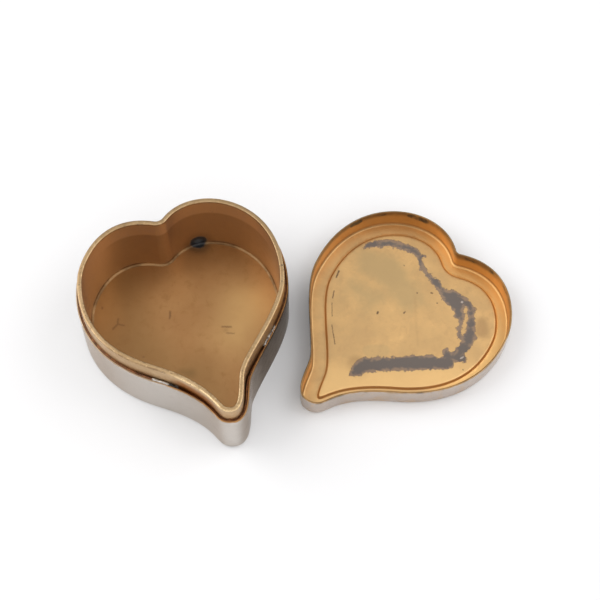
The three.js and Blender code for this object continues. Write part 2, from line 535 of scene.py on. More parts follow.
residue = {  # blue-black crust where the wall meets the floor
    "at": (-31.7, 31.3, 2.3),
    "reach": (3.0, 2.6, 3.0),
    "core": (0.07, 0.085, 0.10),
    "coreShare": 0.6,
    "colour": (0.012, 0.016, 0.022),
    "halo": ((0.16, 0.095, 0.05), 0.4),
    "haloShare": 1.9,
    "rough": 0.35,
    "relief": 0.15,
}


def addResidue(where, colour, rough, metal, normal, within):
    place = shaken(where, 1.1, 1.0)

    def crustBlob(share, high):
        return blobAt(place, residue["at"], [value * share for value in residue["reach"]], 1.1, high)

    mask = crustBlob(1.0, 0.8) * within
    colour = tinted(colour, crustBlob(residue["haloShare"], 0.4) * within, residue["halo"])
    crust = blend(crustBlob(residue["coreShare"], 0.3), residue["colour"], residue["core"])
    return {
        "Base Color": blend(mask, colour, crust),
        "Roughness": blend(mask, rough, (residue["rough"],) * 3),
        "Metallic": (1.0 - mask) * metal,
        "Normal": bump(mask * grain(where, 0.6), residue["relief"], normal),
    }


# Plated sheet: silver outside and gold lacquer inside, which meet at the worn rim
sheetComb = {"scale": (1.0, 0.045, 1.0), "turn": 34, "size": 0.16}


def sheetFinish(where, look):
    inner, rim = attribute(where, "inner"), attribute(where, "rim")
    broad, middling, fine, wavy = grainsOf(where, look)

    gold = blend(stretch(broad, 0.36, 0.64), look["gold"], look["goldDull"])
    gold = blend(stretch(middling, 0.5, 0.78, 0.0, 0.55), gold, look["goldDeep"])
    gold = blend(stretch(fine, 0.62, 0.78, 0.0, 0.35), gold, look["speck"])
    silver = blend(stretch(broad, 0.35, 0.7), look["silver"], look["silverDull"])
    silver = blend(stretch(middling, 0.56, 0.8, 0.0, 0.5), silver, look["silverStain"])

    lacquer = stretch(inner + (middling - 0.5) * 0.5, 0.3, 0.6)
    worn = stretch(rim + (middling - 0.5) * 0.9, 0.62, 0.95)
    rimColour = blend(zone(where, look["rimSpan"]), look["rimDull"], look["rim"])
    colour = blend(worn, blend(lacquer, silver, gold), rimColour)
    patch = stretch(broad, 0.5, 0.62) * stretch(rim, 0.1, 0.7)
    colour = tinted(colour, patch, look["rimDark"])

    rough = stretch(middling, 0.25, 0.8, 0.0, look["roughSpread"], "LINEAR")
    rough = rough + stretch(lacquer, 0.0, 1.0, look["roughOut"], look["roughIn"], "LINEAR") + worn * 0.1

    turn = (0, 0, math.radians(sheetComb["turn"]))
    combed = put(where.tree, "ShaderNodeMapping", {"Vector": where, "Scale": sheetComb["scale"], "Rotation": turn})
    scratches = stretch(grain(combed, sheetComb["size"], 2.0), 0.6, 0.75) + fine * 0.6
    normal = bump(scratches, look["scratch"], bump(wavy, look["wave"]))
    return colour, rough, normal, lacquer, broad, middling


# In these dictionaries a layer is a colour and its strength, and a zone is a list of spans: axis, from, to
boxLook = {
    "grains": {
        "broad": (15.0, 4.0, 0.6), "middling": (2.6, 5.0, 0.62, 0.4), "fine": (0.55,), "wavy": (9.0, 1.0),
    },
    "gold": (0.435, 0.238, 0.098),
    "goldDull": (0.40, 0.21, 0.085),
    "goldDeep": (0.33, 0.168, 0.064),
    "speck": (0.30, 0.16, 0.07),
    "silver": (0.64, 0.625, 0.60),
    "silverDull": (0.59, 0.57, 0.54),
    "silverStain": (0.53, 0.49, 0.45),
    "rim": (0.46, 0.25, 0.10),
    "rimDull": (0.42, 0.31, 0.21),
    "rimSpan": [("X", -44.0, -34.0)],
    "rimDark": ((0.12, 0.08, 0.05), 0.35),
    "roughOut": 0.16,
    "roughIn": 0.38,
    "roughSpread": 0.12,
    "wave": 0.03,
    "scratch": 0.003,
}
boxMarks = {
    "floor": 0.5,  # height at which the marks lie
    "floorTop": 1.0,
    "strokes": [
        ((-56.4, 4.2), (-56.4, 2.4), 0.2), ((-56.4, 2.4), (-57.8, 0.7), 0.22),
        ((-56.4, 2.4), (-54.4, 1.9), 0.16), ((-40.0, 6.6), (-40.0, 4.5), 0.26),
        ((-61.6, 8.1), (-61.6, 8.0), 0.3), ((-23.4, 1.5), (-20.6, 1.4), 0.22),
        ((-21.8, -0.7), (-19.6, -0.9), 0.13), ((-47.9, -9.0), (-47.6, -9.0), 0.16),
    ],
    "markLayer": ((0.17, 0.09, 0.045), 0.8),
    "haze": [[(-36.0, -14.0, 0.6), (-32.8, -14.6, 1.3)], [(-22.2, 0.3, 0.1)]],
    "hazeLayer": ((0.20, 0.12, 0.048), 0.5),
    # painted light: the floor lighter towards the right, where the light from the left falls on it
    "paintedFloorLight": [[(-16.0, 9.0, 6.0), (-19.0, -1.0, 4.0)]],
    "paintedFloorLightColour": (0.58, 0.355, 0.15),
    # painted shade: the floor darker on the left, below the wall that keeps the light from the left off it, and in
    # the tail
    "paintedFloorShade": [
        [(-60.0, 14.0, 7.0), (-55.0, -3.0, 7.0), (-41.0, -15.0, 4.0)],
        [(-32.0, -17.0, 5.0), (-27.0, -31.0, 5.0)],
    ],
    "paintedFloorShadeLayer": ((0.30, 0.165, 0.065), 0.75),
    "highColour": (0.60, 0.28, 0.105),
    # painted shade on the outer flank beside the lid
    "flankShadeLayer": ((0.015, 0.012, 0.010), 0.92),
    "flankShadeSpan": [("X", -18.0, -9.0)],
    "zones": {
        "flankShade": [("Y", 22.0, 8.0), ("Z", 0.1, 1.2)],
        "high": [("Z", 14.0, 17.0), ("Z", 19.95, 19.6)],
    },
    "grazingTint": (0.72, 0.63, 0.56),
}


def boxFinish(look, marks):
    material, where = newMaterial("platedSheet")
    colour, rough, normal, lacquer, broad, _ = sheetFinish(where, look)
    zones = zonesOf(where, marks)
    # The floor painted lighter towards the right: painted light
    paintedFloorLight = stretch(attribute(where, "paintedFloorLight"), -9.0, 5.0) * stretch(broad, 0.3, 0.6, 0.7, 1.0)
    colour = blend(paintedFloorLight, colour, marks["paintedFloorLightColour"])
    # The floor painted darker on the left and in the tail: painted shade
    colour = tinted(colour, stretch(attribute(where, "paintedFloorShade"), -10.0, 4.0), marks["paintedFloorShadeLayer"])
    colour = tinted(colour, stretch(attribute(where, "haze"), -1.6, 1.2), marks["hazeLayer"])
    scored = strokesAt(shaken(where, 0.8, 0.7), marks["strokes"], marks["floor"], 0.45)
    colour = tinted(colour, scored, marks["markLayer"])
    # The flank beside the lid is darkened: painted shade, standing in for the shaded table between box and lid
    # that it mirrors
    flankShade = zone(shaken(where, 7.0, 6.0), marks["flankShadeSpan"]) * stretch(lacquer, 0.6, 0.2) * zones["flankShade"]
    colour = tinted(colour, flankShade, marks["flankShadeLayer"])
    colour = blend(zones["high"] * stretch(lacquer, 0.5, 0.9), colour, marks["highColour"])
    sockets = addResidue(where, colour, rough, 1.0, normal, lacquer)
    return dress(material, {**sockets, "Specular Tint": (*marks["grazingTint"], 1)})


lidLook = {
    "grains": {
        "broad": (13.0, 4.0, 0.6), "middling": (2.6, 5.0, 0.62, 0.4), "fine": (0.55,), "wavy": (9.0, 1.0),
    },
    "gold": (0.715, 0.455, 0.202),
    "goldDull": (0.64, 0.41, 0.187),
    "goldDeep": (0.56, 0.35, 0.165),
    "seam": (0.76, 0.49, 0.22),
    # painted shade: the darker gold of the skirt's inner wall
    "wall": (0.56, 0.305, 0.11),
    "speck": (0.50, 0.33, 0.17),
    "silver": (0.57, 0.49, 0.43),
    "silverDull": (0.51, 0.435, 0.38),
    "silverStain": (0.42, 0.35, 0.30),
    "rim": (0.42, 0.26, 0.12),
    "rimDull": (0.22, 0.17, 0.10),
    "rimSpan": [("Y", 0.0, -14.0)],
    "rimDark": ((0.10, 0.085, 0.06), 0.75),
    "roughOut": 0.16,
    "roughIn": 0.36,
    "roughSpread": 0.14,
    "wave": 0.03,
    "scratch": 0.004,
}
lidMarks = {
    "grains": {"clouds": (6.5, 6.0, 0.68, 0.6), "crumbly": (2.1, 6.0, 0.72)},
    "panel": 1.3,  # heights at which the marks lie
    "skirt": 6.6,
    "panelFrom": 1.15,
    "offPanel": -6.0,
    "stain": [  # each point is x, y and half the stroke's width
        [(21.8, 29.4, 0.2), (22.8, 30.0, 0.8), (24.1, 30.5, 1.15), (25.7, 30.7, 1.35), (30.2, 31.0, 1.35),
         (34.7, 29.8, 1.3), (36.6, 29.1, 1.25), (37.9, 28.1, 1.15), (39.8, 26.0, 1.05), (39.8, 23.8, 0.65),
         (40.4, 21.6, 0.75), (41.8, 19.8, 0.8), (43.3, 18.0, 1.05), (44.6, 16.9, 1.2), (45.7, 14.4, 1.05),
         (47.9, 12.1, 2.1), (50.3, 9.8, 2.6), (51.5, 7.3, 2.1), (51.4, 5.2, 1.5)],
        [(39.1, 27.1, 0.8), (40.7, 26.0, 0.7)],
        [(49.5, 12.3, 1.65), (52.0, 10.8, 1.65), (54.1, 9.1, 1.5), (55.3, 7.0, 1.25), (55.1, 3.4, 1.3),
         (54.6, -0.1, 1.65), (54.2, -2.8, 1.95), (53.1, -5.3, 1.95), (51.5, -7.0, 1.8), (50.8, -8.4, 1.95),
         (49.5, -9.4, 1.8), (47.9, -9.4, 1.8), (46.9, -11.4, 2.3), (44.7, -11.8, 2.05), (41.6, -11.3, 2.5),
         (36.9, -11.4, 2.5), (32.3, -11.8, 2.4), (27.6, -11.9, 2.35), (22.9, -12.1, 2.5), (20.4, -12.6, 2.6),
         (19.2, -13.5, 2.45), (17.9, -14.8, 1.3)],
        [(52.0, 4.5, 0.8), (51.5, 0.6, 0.9), (51.2, -2.8, 0.85)],
        [(46.8, -7.3, 0.85), (47.0, -9.0, 1.3)], [(20.9, -10.7, 0.9), (23.0, -10.4, 0.9)],
        [(51.7, -9.7, 1.5), (50.4, -10.1, 1.3)],
    ],
    "bare": [
        [(53.4, 8.0, 0.4), (53.6, 4.8, 0.5), (53.1, 1.3, 0.6), (52.3, -1.4, 0.5)],
        [(50.4, -3.9, 0.65), (51.6, -3.9, 0.4)],
    ],
    "stainColour": (0.135, 0.11, 0.095),
    "thinLayer": ((0.29, 0.195, 0.125), 0.85),
    "stainRough": 0.62,
    "haze": [
        [(58.5, 2.7, 1.6), (58.4, -0.4, 2.3)], [(18.6, -12.1, 2.9), (19.8, -14.5, 2.6)],
        [(37.7, 11.2, -0.2), (37.7, 3.4, -0.3), (38.1, -5.3, -0.3)],
    ],
    "hazeLayer": ((0.46, 0.285, 0.135), 0.8),
    "olive": [
        [(23.6, 24.1, 4.6), (31.5, 19.4, 5.9), (35.0, 11.0, 4.5)],
        [(17.7, 15.8, 2.9), (24.0, 10.5, 3.9)],
    ],
    "oliveLayer": ((0.53, 0.372, 0.182), 0.75),
    "stamp": [[(22.8, -7.2, 1.9), (27.2, -7.2, 1.9)]],  # a plain dull blot above the bar of the stain
    "stampLayer": ((0.53, 0.372, 0.182), 0.4),
    "cloudLayer": ((0.58, 0.37, 0.175), 0.45),
    "brightLayer": ((0.84, 0.545, 0.24), 0.4),
    "foldShadeLayer": ((0.36, 0.21, 0.09), 0.85),
    "upperShadeAndTarnishLayer": ((0.22, 0.13, 0.06), 0.85),
    "nearHighlightLayer": ((0.86, 0.56, 0.245), 0.7),
    "bandSheenLayer": ((0.88, 0.54, 0.21), 0.8),
    "zones": {
        "fold": [("Z", 1.9, 1.0)],
        "upper": [("Z", 5.0, 7.0)],
        "lobe": [("Z", 4.4, 6.6), ("X", 46.0, 51.0), ("X", 66.0, 61.0)],
        "band": [("Z", 1.0, 0.6), ("X", 36.0, 50.0)],
        "near": [("Y", -8.0, -17.0), ("Z", 0.9, 1.2), ("Z", 1.6, 1.4)],
        "joint": [("Z", 2.0, 1.1)],
    },
    "patches": [  # worn places on the skirt: start, end and reach
        ((18.6, 34.0), (20.4, 35.4), 1.3), ((36.8, 36.6), (40.6, 35.2), 1.7),
        ((41.0, 34.6), (42.6, 33.4), 1.0), ((25.5, 38.6), (28.5, 38.9), 0.5),
        ((54.0, 22.0), (61.5, 17.2), 0.8), ((64.4, 12.2), (65.2, 9.6), 0.8),
    ],
    "patchColour": (0.095, 0.075, 0.055),
    "strokes": [
        ((25.8, 6.2), (25.6, 5.7), 0.3), ((34.4, 6.2), (34.0, 5.9), 0.24),
        ((38.4, 13.0), (38.4, 12.9), 0.2), ((42.8, 13.0), (43.3, 12.9), 0.22),
        ((13.6, 20.9), (12.8, 18.7), 0.26), ((12.0, 13.7), (11.5, 11.2), 0.17),
        ((11.3, 9.4), (11.3, 4.8), 0.1), ((11.2, 1.7), (11.5, -0.8), 0.12),
        ((11.5, -0.8), (12.1, -4.9), 0.14), ((44.6, 9.4), (44.6, 9.3), 0.17),
        ((34.5, 23.0), (34.6, 22.8), 0.16), ((51.8, -13.8), (51.8, -13.7), 0.18),
    ],
    "light": [
        ((52.5, 9.8), (52.6, 9.8), 0.3), ((52.0, -9.4), (51.3, -9.9), 0.22),
        ((25.7, 29.6), (25.9, 29.5), 0.26),
    ],
    "markLayer": ((0.17, 0.11, 0.065), 0.95),
}


def lidFinish(look, marks):
    material, where = newMaterial("giltSheet")
    colour, rough, normal, lacquer, broad, middling = sheetFinish(where, look)
    zones = zonesOf(where, marks)
    onWall, seam, deep = (attribute(where, name) for name in ("wall", "seam", "stain"))
    clouds, crumbly = grainsOf(where, marks)
    colour = tinted(colour, stretch(clouds, 0.46, 0.66), marks["cloudLayer"])
    colour = tinted(colour, stretch(clouds, 0.42, 0.28), marks["brightLayer"])
    # The crease at the foot of the skirt's inner wall darkened: painted shade
    colour = tinted(colour, stretch(onWall, 0.0, 0.12) * zones["fold"] * lacquer, marks["foldShadeLayer"])
    # The skirt's inner wall in a darker gold than the panel: painted shade
    colour = blend(onWall * lacquer * stretch(middling, 0.25, 0.7, 1.0, 0.6), colour, look["wall"])
    # The flat band brighter orange on the right: painted reflection of the lit skirt
    colour = tinted(colour, zones["band"] * lacquer, marks["bandSheenLayer"])
    # The upper skirt wall darker in patches: painted shade; on the right lobe, a dark tarnish line along the rim
    upper = largest(zones["upper"] * stretch(broad, 0.4, 0.6, 0.4, 1.0), zones["lobe"])
    colour = tinted(colour, upper * lacquer, marks["upperShadeAndTarnishLayer"])
    olive = attribute(where, "olive") + (broad - 0.5) * 14.0
    colour = tinted(colour, stretch(olive, -3.5, 3.5), marks["oliveLayer"])
    colour = tinted(colour, stretch(attribute(where, "stamp"), -0.7, 0.4), marks["stampLayer"])
    colour = tinted(colour, stretch(attribute(where, "haze"), -1.2, 1.2), marks["hazeLayer"])
    # The front of the panel and step lighter: painted highlight, standing in for the brighter reflection there
    colour = tinted(colour, zones["near"] * lacquer, marks["nearHighlightLayer"])
    # The step painted a lighter gold, most at the front: painted light that evens out its shading
    fading = stretch(where.part("Y"), 28.0 * mm, -12.0 * mm, 0.15, 1.0)
    colour = blend(seam * stretch(middling, 0.3, 0.65, 0.4, 1.0) * fading, colour, look["seam"])
    patches = strokesAt(shaken(where, 1.6, 1.8), marks["patches"], marks["skirt"], 0.4)
    colour = blend(patches * lacquer, colour, marks["patchColour"])
    place = shaken(where, 0.6, 0.5)
    colour = tinted(colour, strokesAt(place, marks["strokes"], marks["panel"], 0.2), marks["markLayer"])

    stain = stretch(deep + (crumbly - 0.5) * 4.0, -0.1, 0.12)
    thin = stretch(deep + stretch(middling, 0.3, 0.7, -0.7, 0.7), 1.15, 0.15)
    dark = tinted(marks["stainColour"], thin, marks["thinLayer"])
    light = strokesAt(place, marks["light"], marks["panel"], 0.15)
    dark = tinted(dark, light, (look["silver"], 0.7))
    rough = rough + stretch(onWall, 0.0, 0.2) * zones["joint"] * 0.3 + seam * 0.25
    return dress(material, {
        "Base Color": blend(stain, colour, dark),
        "Roughness": blend(stain, rough, (marks["stainRough"],) * 3),
        "Metallic": stretch(stain, 0.0, 1.0, 1.0, 0.15, "LINEAR"),
        "Normal": bump(stain + crumbly * stain * 0.6, 0.04, normal),
    })


collarLook = {
    "grains": {
        "broad": (11.0, 4.0, 0.6), "middling": (2.2, 5.0, 0.62, 0.4), "fine": (0.5,), "wavy": (8.0, 1.0),
        "broken": (3.0, 4.0, 0.7), "flecks": (1.3, 5.0, 0.75), "mottle": (1.0, 4.0, 0.7), "tiny": (0.7, 2.0),
    },
    "brass": (0.57, 0.395, 0.22),
    "brassDull": (0.50, 0.335, 0.175),
    "brassDeep": (0.45, 0.27, 0.13),
    "foot": (0.30, 0.18, 0.085),
    "footPale": (0.54, 0.35, 0.175),
    "inside": (0.64, 0.465, 0.315),
    "edgeLayer": ((0.24, 0.145, 0.08), 0.75),
    "shadeLayer": ((0.38, 0.25, 0.15), 0.65),
    "fleck": (0.34, 0.22, 0.11),
    "ruddyReflection": (0.33, 0.125, 0.024),
    "rubbedAndGlint": (0.84, 0.62, 0.35),
    "pit": (0.10, 0.07, 0.05),
    "rough": 0.34,
    "roughSpread": 0.14,
    "wave": 0.02,
    "scratch": 0.004,
}
collarMarks = {
    "top": 26.5,
    "zones": {
        "inside": [("Z", 26.2, 25.6)],
        "level": [("Z", 20.5, 19.0), ("Y", 16.0, 24.0)],
        "edge": [("Z", 25.9, 26.3)],
        "darkEdge": [("X", -60.0, -55.0)],
        "innerEdge": [("Z", 25.8, 26.2)],
        "nearTail": [("X", -46.0, -34.0), ("Y", 8.0, -12.0)],
        "rubbedAndGlint": [("X", -40.0, -33.0)],
        "rim": [("Z", 25.3, 26.2)],
        "right": [("X", -24.0, -14.0)],
        "farther": [("Y", 8.0, 22.0)],
        "ruddyReflection": [("X", -38.0, -33.0), ("Z", 25.6, 23.2), ("X", -20.0, -26.0)],
        "side": [("X", -20.0, -12.0)],
    },
    "strokes": [
        ((-44.04, 25.05), (-43.9, 25.05), 0.22), ((-4.31, 9.76), (-4.31, 9.7), 0.24),
        ((-4.28, 4.31), (-4.28, 4.3), 0.2), ((-15.41, -35.24), (-15.3, -35.2), 0.22),
        ((-37.6, -24.74), (-37.5, -24.7), 0.15),
    ],
}


def collarFinish(look, marks):
    material, where = newMaterial("collarBrass")
    zones = zonesOf(where, marks)
    height = where.part("Z")
    deep = attribute(where, "deepIn")  # millimetres in from the outer face
    innerFace, outerFace = stretch(deep, 1.15, 1.4), stretch(deep, 0.5, 0.2)
    broad, middling, fine, wavy, broken, flecks, mottle, tiny = grainsOf(where, look)
    brass = blend(stretch(broad, 0.36, 0.64), look["brass"], look["brassDull"])
    brass = blend(stretch(middling, 0.5, 0.78, 0.0, 0.6), brass, look["brassDeep"])
    inside = innerFace * zones["inside"]
    colour = blend(inside, brass, look["inside"])
    # The back of the inner face is darker below a level line
    colour = tinted(colour, zones["level"] * innerFace, look["shadeLayer"])
    # The foot of the band, where it rounds into the floor, darkened with paler patches: painted shade in the
    # crease
    foot = stretch(height + (middling - 0.5) * (1.2 * mm), 1.7 * mm, 1.1 * mm)
    colour = blend(foot, colour, blend(stretch(broad, 0.4, 0.6), look["foot"], look["footPale"]))
    # The rim's outer edge: a dark line on the left; towards the tail the edges are rubbed bright, with a painted
    # highlight along them
    worn = deep + (middling - 0.5) * 0.5
    atEdge = stretch(worn, 0.5, 0.22) * zones["edge"]
    broken = stretch(broken, 0.42, 0.58, 0.5, 1.0) * zones["darkEdge"]
    innerEdge = stretch(worn, 0.95, 1.15) * zones["innerEdge"] * (zones["nearTail"] * 0.7 + 0.3)
    innerEdge = innerEdge * stretch(where.part("X"), -10.0 * mm, -19.0 * mm, 0.1, 1.0)
    rubbedAndGlint = largest(zones["rubbedAndGlint"] * atEdge, innerEdge * stretch(middling, 0.4, 0.58))
    colour = tinted(colour, atEdge * broken, look["edgeLayer"])
    colour = blend(rubbedAndGlint, colour, look["rubbedAndGlint"])
    # Flecks of tarnish on the rim, the rim darker towards the right and the back, and the outer face darker on its
    # right side; near the tail a ruddy foot of the outer face, a painted reflection of the shell's gilt inside
    onRim = zones["rim"]
    for mask, layer in (  # every layer is a colour and its strength
        (stretch(flecks, 0.5, 0.66) * onRim, (look["fleck"], 0.75)),
        (stretch(mottle, 0.46, 0.34) * onRim, (look["rubbedAndGlint"], 0.5)),
        (zones["right"] * onRim, (look["fleck"], 0.25)), (zones["farther"] * onRim, (look["fleck"], 0.4)),
        (zones["ruddyReflection"] * outerFace, (look["ruddyReflection"], 1.0)), (zones["side"] * outerFace, (look["fleck"], 0.6)),
    ):
        colour = tinted(colour, mask, layer)
    pits = strokesAt(shaken(where, 0.6, 0.3), marks["strokes"], marks["top"], 0.1)
    pits = largest(pits, stretch(tiny, 0.66, 0.72) * stretch(height, 25.6 * mm, 26.2 * mm, 0.25, 0.8))
    colour = blend(pits, colour, look["pit"])
    rough = stretch(middling, 0.25, 0.8, 0.0, look["roughSpread"], "LINEAR") + look["rough"]
    rough = rough + foot * 0.25 - rubbedAndGlint * 0.12
    drawn = {"X": attribute(where, "along") * 0.05, "Y": attribute(where, "across")}
    lines = stretch(grain(put(where.tree, "ShaderNodeCombineXYZ", drawn), 0.22, 2.0), 0.55, 0.75)
    relief = (lines + fine * 0.3 - pits) * (1.0 - inside * 0.75)
    normal = bump(relief, look["scratch"], bump(wavy, look["wave"]))
    sockets = addResidue(where, colour, rough, 1.0 - pits * 0.8, normal, stretch(deep, 0.4, 1.0))
    return dress(material, sockets)


enamelLook = {
    "grains": {"cloudy": (6.0, 4.0), "specks": (0.5, 2.0)},
    "colour": (0.035, 0.105, 0.165),
    "light": (0.05, 0.14, 0.21),
    "speck": (0.02, 0.05, 0.08),
}


def enamelFinish(look):
    material, where = newMaterial("enamelGlaze")
    cloudy, specks = grainsOf(where, look)
    colour = blend(stretch(cloudy, 0.35, 0.7), look["colour"], look["light"])
    return dress(material, {
        "Base Color": blend(stretch(specks, 0.68, 0.76), colour, look["speck"]),
        "Roughness": stretch(cloudy, 0.2, 0.8, 0.12, 0.24),
        "Normal": bump(cloudy, 0.05),
        "Coat Weight": 0.6,
        "Coat Roughness": 0.06,
    })


boxShape = makeBoxShell(shell, boxOutline)
onFloor = (boxShape.points[:, 2] < boxMarks["floorTop"]) & (boxShape.marks["inner"] > 0.99)
for mark in ("paintedFloorLight", "paintedFloorShade", "haze"):
    boxShape.marks[mark] = np.where(onFloor, strokeDepth(boxShape.points[:, :2], boxMarks[mark]), farOut)
boxShell = boxShape.build("boxShell", boxFinish(boxLook, boxMarks))
takesPlaceOf(boxShell, "box_shell")


# Collar band: a section swept round its own rail by Geometry Nodes
collar = {
    "Wall": 1.45,
    "Height": 26.0,
    "Edge Round": 0.39,
    "Foot Round": 1.0,
    "Fillet": 0.7,  # hollow joint between the inner face and the floor
    "Skin": 0.02,
    "Unevenness": 0.05,
    "Wave Length": 9.0,
}
collarRail = {
    "inset": 1.1,
    "neckSlack": 0.4,
    "neckSpread": 11.0,
    "necks": ((-7.02, -24.02), (21.45, -22.67)),  # the tail's two necks, from the heart's middle
    "drift": (0.0, -0.15),
    "floor": 0.5,
}


def newTree(name, sizes, counts=()):
    tree = bpy.data.node_groups.new(name, "GeometryNodeTree")
    faces = tree.interface
    faces.new_socket("Geometry", in_out="INPUT", socket_type="NodeSocketGeometry")
    for label in sizes:
        kind = "NodeSocketInt" if label in counts else "NodeSocketFloat"
        faces.new_socket(label, in_out="INPUT", socket_type=kind)
    faces.new_socket("Geometry", in_out="OUTPUT", socket_type="NodeSocketGeometry")
    given = tree.nodes.new("NodeGroupInput").outputs
    return tree, {label: Field(tree, given[label]) for label in ("Geometry", *sizes)}


def finishTree(tree, geometry, material):
    geometry = put(tree, "GeometryNodeRealizeInstances", {"Geometry": geometry})
    geometry = put(tree, "GeometryNodeSetShadeSmooth", {"Geometry": geometry})
    geometry = put(tree, "GeometryNodeSetMaterial", {"Geometry": geometry, "Material": material})
    tree.links.new(geometry.socket, tree.nodes.new("NodeGroupOutput").inputs[0])
    return tree


def meshByNodes(name, points, edges, tree, sizes, counts=()):
    rail = bpy.data.meshes.new(name + "Rail")
    rail.from_pydata([tuple(point) for point in np.asarray(points) * mm], edges, [])
    source = bpy.data.objects.new(name + "Rail", rail)
    scene.collection.objects.link(source)
    modifier = source.modifiers.new(name, "NODES")
    modifier.node_group = tree
    for socket in tree.interface.items_tree:
        if socket.in_out == "INPUT" and socket.name in sizes:
            value = sizes[socket.name]
            modifier[socket.identifier] = value if socket.name in counts else value * mm
    evaluated = source.evaluated_get(bpy.context.evaluated_depsgraph_get())
    mesh = bpy.data.meshes.new_from_object(evaluated)
    mesh.name = name
    source.modifiers.remove(modifier)
    bpy.data.objects.remove(source)
    piece = bpy.data.objects.new(name, mesh)
    scene.collection.objects.link(piece)
    return piece


def switch(tree, values, kind):
    made = tree.nodes.new("GeometryNodeIndexSwitch")
    made.data_type = kind
    for _ in values[2:]:
        made.index_switch_items.new()
    fillIn(tree, made, {"Index": put(tree, "GeometryNodeInputIndex"), **dict(enumerate(values, 1))})
    return Field(tree, made.outputs[0])


def storeField(tree, geometry, name, value):
    sockets = {"Geometry": geometry, "Name": name, "Value": value}
    return put(tree, "GeometryNodeStoreNamedAttribute", sockets, data_type="FLOAT", domain="POINT")


def waveOf(tree, place, length, detail):
    sockets = {"Vector": place, "Scale": 1.0 / length, "Detail": detail}
    return put(tree, "ShaderNodeTexNoise", sockets, "Color")


def railOf(tree, mesh):
    return put(tree, "GeometryNodeMeshToCurve", {"Mesh": mesh})


def upright(tree, rail):
    return put(tree, "GeometryNodeSetCurveNormal", {"Curve": rail}, mode="Z_UP")


def collarTree(material):
    tree, given = newTree("collarSweep", collar)
    names = ("Wall", "Height", "Fillet", "Skin", "Edge Round")
    wall, height, fillet, skin, edge = (given[name] for name in names)
    toe = wall + fillet + 0.05 * mm
    corners = [put(tree, "ShaderNodeCombineXYZ", {"X": across, "Y": up}) for across, up in (
        (0.0, 0.0), (toe, 0.0), (toe, skin), (wall, skin), (wall, height), (0.0, height))]
    rounds = [given["Foot Round"], 0.0, 0.0, fillet, edge, edge]
    section = railOf(tree, put(tree, "GeometryNodeMeshLine", {"Count": len(corners)}))
    section = put(tree, "GeometryNodeSetSplineCyclic", {"Geometry": section, "Cyclic": True})
    # The sweep's own axes point out and down, so the section is turned half round
    turned = switch(tree, corners, "VECTOR").vector("SCALE", -1.0)
    section = put(tree, "GeometryNodeSetPosition", {"Geometry": section, "Position": turned})
    rounding = {"Curve": section, "Count": 6, "Radius": switch(tree, rounds, "FLOAT"), "Limit Radius": True}
    section = put(tree, "GeometryNodeFilletCurve", rounding, mode="POLY")
    length = put(tree, "GeometryNodeSplineParameter", out="Length")
    section = storeField(tree, section, "across", length)
    rail = storeField(tree, upright(tree, railOf(tree, given["Geometry"])), "along", length)
    band = put(tree, "GeometryNodeCurveToMesh", {"Curve": rail, "Profile Curve": section})
    place = put(tree, "GeometryNodeInputPosition")
    reach = given["Unevenness"] * (place.part("Z") / height) * -1.0
    shift = waveOf(tree, place, given["Wave Length"], 1.0).vector("SCALE", reach)
    band = put(tree, "GeometryNodeSetPosition", {"Geometry": band, "Offset": shift})
    return finishTree(tree, band, material)


def collarLine(outline, rail, necks):
    gap = np.min([np.linalg.norm(outline - neck, axis=1) for neck in necks], axis=0)
    slack = rail["neckSlack"] * np.exp(-((gap / rail["neckSpread"]) ** 2))
    return outline - outwardOf(outline) * (rail["inset"] + slack)[:, None] + rail["drift"]


collarNecks = [middleOf("box_shell") + at for at in collarRail["necks"]]
collarPoints = collarLine(boxOutline, collarRail, collarNecks)
collarPoints = np.column_stack([collarPoints, np.full(len(collarPoints), collarRail["floor"])])
loopEdges = [(i, (i + 1) % len(collarPoints)) for i in range(len(collarPoints))]
collarBand = meshByNodes("collarBand", collarPoints, loopEdges,
                         collarTree(collarFinish(collarLook, collarMarks)), collar)


def markDepth(piece, line, name):
    places = np.zeros(len(piece.data.vertices) * 3)
    piece.data.vertices.foreach_get("co", places)
    places = places.reshape(-1, 3)[:, :2] / mm
    outward = outwardOf(line)
    depth = np.zeros(len(places))
    for first in range(0, len(places), flatGrid["batch"]):
        part = slice(first, first + flatGrid["batch"])
        nearest = np.linalg.norm(places[part, None] - line[None], axis=2).argmin(1)
        depth[part] = -((places[part] - line[nearest]) * outward[nearest]).sum(1)
    piece.data.attributes.new(name, "FLOAT", "POINT").data.foreach_set("value", depth)


markDepth(collarBand, collarPoints[:, :2], "deepIn")
takesPlaceOf(collarBand, "collar_band")


# Old solder and dirt in the gap between shell and collar; the dark brown bead along the gap is dirt and painted
# shade of the gap
gapDirtAndShadeBead = {
    "Radius": 0.36,
    "Unevenness": 0.22,
    "Wave Length": 2.6,
    "Spacing": 0.35,
}
gapStreak = {
    "Radius": 0.42,
    "Unevenness": 0.3,
    "Wave Length": 1.2,
    "Spacing": 0.2,
}
gapPlaces = {  # the dark bead's depth, and so how much of its dirt and painted shade shows, follows the outline by these stops: share of the way round, height
    "inset": 0.8,
    "stops": ((0.0, 19.3), (0.16, 19.75), (0.34, 19.7), (0.37, 18.6), (0.43, 18.8),
              (0.47, 19.3), (0.55, 19.2), (0.6, 18.4), (0.7, 18.9), (1.0, 19.0)),
    "streak": (0.346, 0.366, 0.78, 20.02),
}
crumbSizes = {"Size": 0.24, "Spread": 0.42, "Crumbs": 46, "Seed": 3}
crumbPlaces = {  # from, to, inset and height, then how many, their size and finish
    "paleCrumbs": ((0.617, 0.646, 0.8, 20.0), 54, 0.27, "solderGrey"),
    "darkCrumbs": ((0.364, 0.378, 0.75, 20.0), 40, 0.24, "sootBlack"),
}
